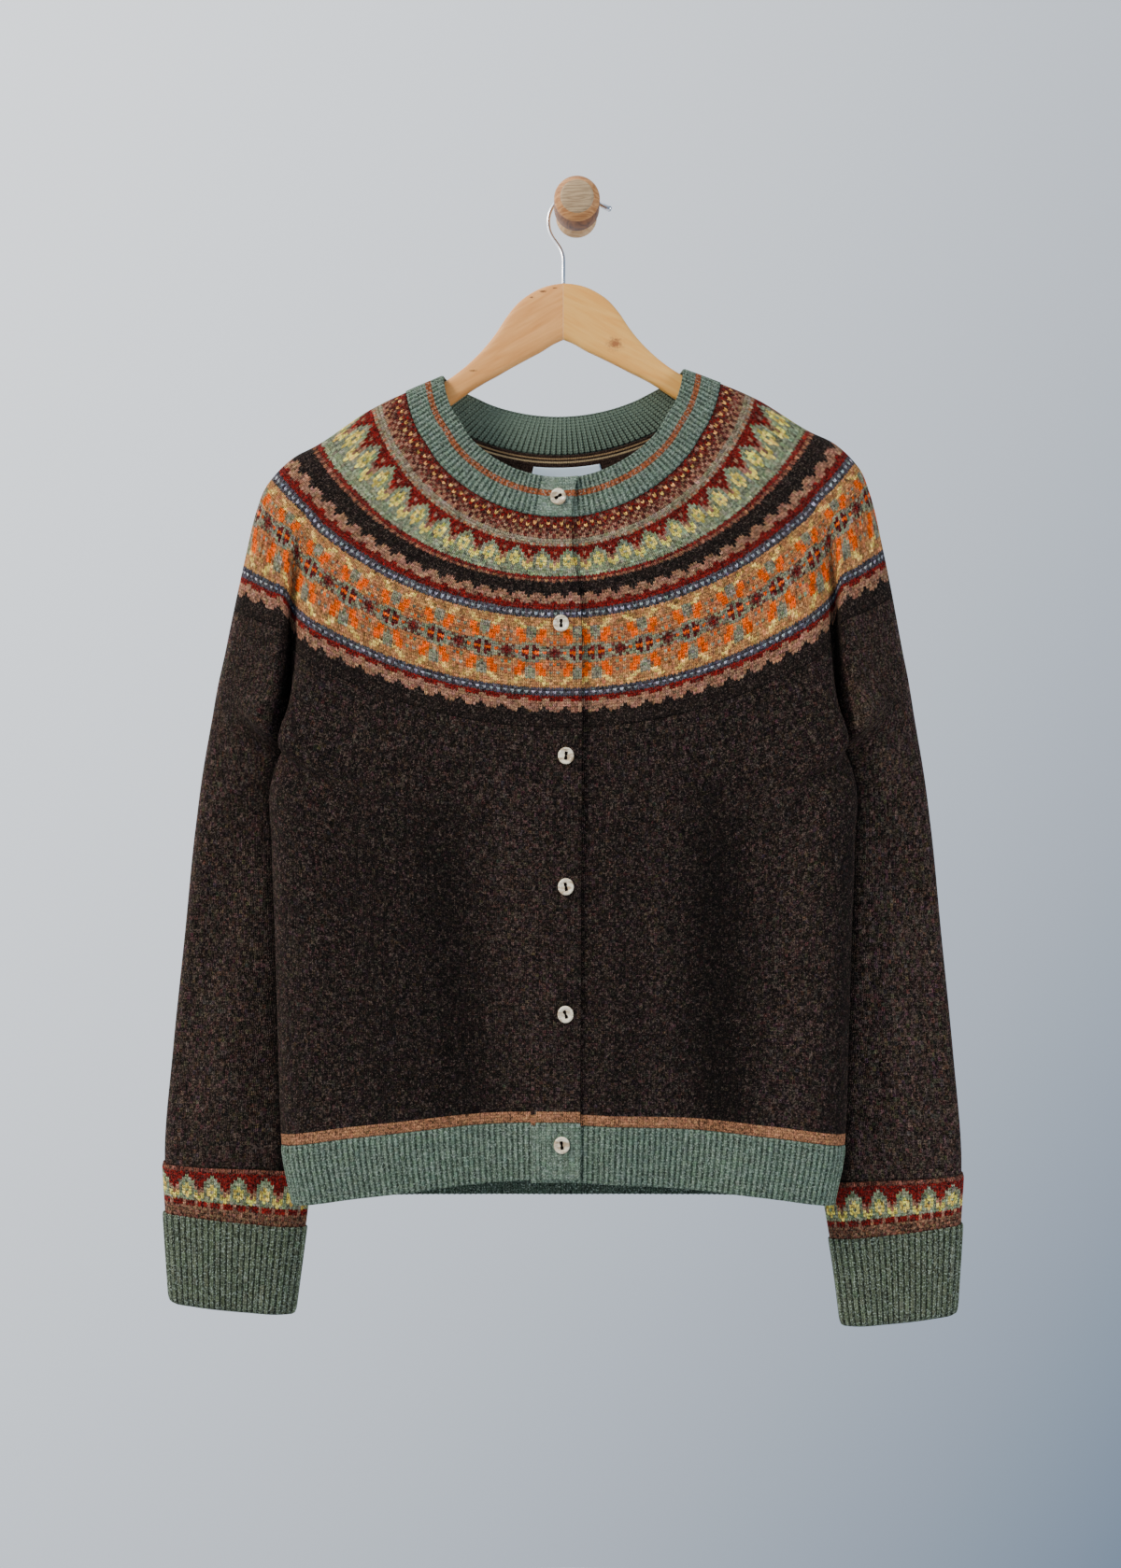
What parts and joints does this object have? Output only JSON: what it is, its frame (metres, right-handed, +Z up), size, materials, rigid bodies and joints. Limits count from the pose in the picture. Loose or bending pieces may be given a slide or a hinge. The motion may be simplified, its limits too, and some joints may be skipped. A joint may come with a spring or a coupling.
{
  "type": "cropped cardigan on a wooden hanger",
  "caption": "Cropped long-sleeved cardigan with a patterned round yoke, ribbed bands and a buttoned front, hanging from a wooden hanger that hooks over a wall peg.",
  "frame": {"origin": "middle of the wall peg's flat back face, where it meets the wall", "axes": "+Z up the wall, +X to the right of someone facing the wall, +Y into the wall, so the garment hangs in front on the -Y side"},
  "size_m": [0.6139, 0.081, 0.8745],
  "materials": {
    "sage_rib": "heathered sage-green wool rib",
    "patterned_yoke": "stranded wool knit in brown, tan, red, slate, orange and yellow",
    "brown_knit": "dark brown heathered wool, plain knit",
    "label_weave": "smooth pale woven tape",
    "pearl_button": "pearly shell look, polished",
    "pale_wood": "pale softwood, satin varnish",
    "hook_wire": "bright plated wire",
    "oak_peg": "turned light oak, oiled"
  },
  "bodies": {
    "root": {"neckband": "sage_rib", "yoke": "patterned_yoke", "front_right": "brown_knit", "front_left": "brown_knit", "back": "brown_knit", "hem_front_right": "sage_rib", "hem_front_left": "sage_rib", "hem_back": "sage_rib", "sleeve_right": "brown_knit", "sleeve_left": "brown_knit", "cuff_right": "sage_rib", "cuff_left": "sage_rib", "neck_label": "label_weave", "button_1": "pearl_button", "button_2": "pearl_button", "button_3": "pearl_button", "button_4": "pearl_button", "button_5": "pearl_button", "button_6": "pearl_button", "hanger_arm_right": "pale_wood", "hanger_arm_left": "pale_wood", "hanger_hook": "hook_wire", "wall_peg": "oak_peg"}
  },
  "joints": []
}
